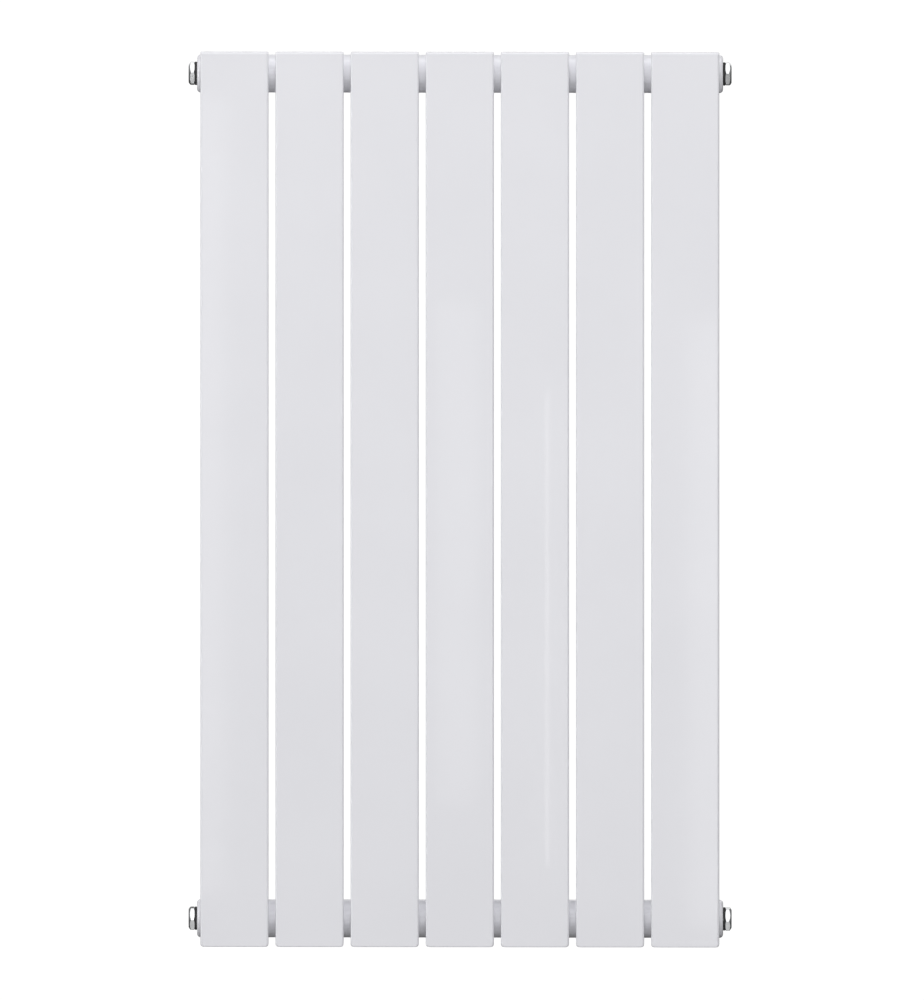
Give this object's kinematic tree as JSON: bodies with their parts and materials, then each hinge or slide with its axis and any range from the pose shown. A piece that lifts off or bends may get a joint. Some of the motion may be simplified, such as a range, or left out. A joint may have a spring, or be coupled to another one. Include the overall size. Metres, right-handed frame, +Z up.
{
  "type": "panel radiator",
  "caption": "White vertical flat-tube radiator on two round headers, with hexagon plugs and a bleed valve in the header ends and adjustable wall brackets.",
  "frame": {"origin": "on the wall plane, in the middle of the rectangle of the four wall brackets; the radiator hangs from z = -0.45 m to z = +0.45 m", "axes": "+Z up along the panels, +Y into the wall, so the panels' faces look along -Y, and +X to the right as seen from the room"},
  "size_m": [0.542, 0.09, 0.9],
  "materials": {
    "white_powder_coat": "gloss white powder coat on steel",
    "chrome": "polished chrome plate",
    "black_rubber": "matte moulded rubber",
    "brass": "turned brass",
    "seal_polymer": "moulded sealing polymer",
    "zinc_plate": "bright zinc-plated steel",
    "white_plastic": "moulded white plastic",
    "black_steel": "black oxide steel"
  },
  "bodies": {
    "wall_sleeves": {"wall_sleeve_top_left": "white_powder_coat", "wall_sleeve_top_right": "white_powder_coat", "wall_sleeve_bottom_left": "white_powder_coat", "wall_sleeve_bottom_right": "white_powder_coat", "grub_screw_top_left": "black_steel", "grub_screw_top_right": "black_steel", "grub_screw_bottom_left": "black_steel", "grub_screw_bottom_right": "black_steel"},
    "bracket_arms": {"slide_pin_top_left": "zinc_plate", "slide_pin_top_right": "zinc_plate", "slide_pin_bottom_left": "zinc_plate", "slide_pin_bottom_right": "zinc_plate", "saddle_top_left": "zinc_plate", "saddle_top_right": "zinc_plate", "saddle_bottom_left": "zinc_plate", "saddle_bottom_right": "zinc_plate", "saddle_liner_top_left": "white_plastic", "saddle_liner_top_right": "white_plastic", "saddle_liner_bottom_left": "white_plastic", "saddle_liner_bottom_right": "white_plastic"},
    "radiator": {"panel_1": "white_powder_coat", "panel_1_bottom_cap": "white_powder_coat", "panel_1_top_cap": "white_powder_coat", "panel_2": "white_powder_coat", "panel_2_bottom_cap": "white_powder_coat", "panel_2_top_cap": "white_powder_coat", "panel_3": "white_powder_coat", "panel_3_bottom_cap": "white_powder_coat", "panel_3_top_cap": "white_powder_coat", "panel_4": "white_powder_coat", "panel_4_bottom_cap": "white_powder_coat", "panel_4_top_cap": "white_powder_coat", "panel_5": "white_powder_coat", "panel_5_bottom_cap": "white_powder_coat", "panel_5_top_cap": "white_powder_coat", "panel_6": "white_powder_coat", "panel_6_bottom_cap": "white_powder_coat", "panel_6_top_cap": "white_powder_coat", "panel_7": "white_powder_coat", "panel_7_bottom_cap": "white_powder_coat", "panel_7_top_cap": "white_powder_coat", "header_top": "white_powder_coat", "header_bottom": "white_powder_coat", "port_socket_top_left": "white_powder_coat", "port_socket_top_right": "white_powder_coat", "port_socket_bottom_left": "white_powder_coat", "port_socket_bottom_right": "white_powder_coat", "blanking_plug_top_left": "chrome", "blanking_plug_bottom_left": "chrome", "blanking_plug_bottom_right": "chrome", "bleed_valve_plug": "chrome", "plug_seal_top_left": "black_rubber", "plug_seal_top_right": "black_rubber", "plug_seal_bottom_left": "black_rubber", "plug_seal_bottom_right": "black_rubber"},
    "bleed_tip": {"bleed_screw_tip": "seal_polymer"},
    "bleed_screw": {"bleed_screw": "brass"}
  },
  "joints": [
    {"name": "depth_adjust", "type": "slide", "parent": "wall_sleeves", "child": "bracket_arms", "axis": [0, -1, 0], "range_m": [-0.004, 0.008]},
    {"name": "lift_off", "type": "slide", "parent": "bracket_arms", "child": "radiator", "axis": [0, 0, 1], "range_m": [0, 0.04]},
    {"name": "bleed_travel", "type": "slide", "parent": "radiator", "child": "bleed_tip", "axis": [1, 0, 0], "range_m": [0, 0.001]},
    {"name": "bleed_turn", "type": "hinge", "parent": "bleed_tip", "child": "bleed_screw", "pos_m": [0.266, -0.059, 0.425], "axis": [1, 0, 0], "range_deg": [0, 360]}
  ],
  "couplings": [
    {"joint": "bleed_turn", "follows": "bleed_travel", "rad_per_m": 6283.2}
  ]
}
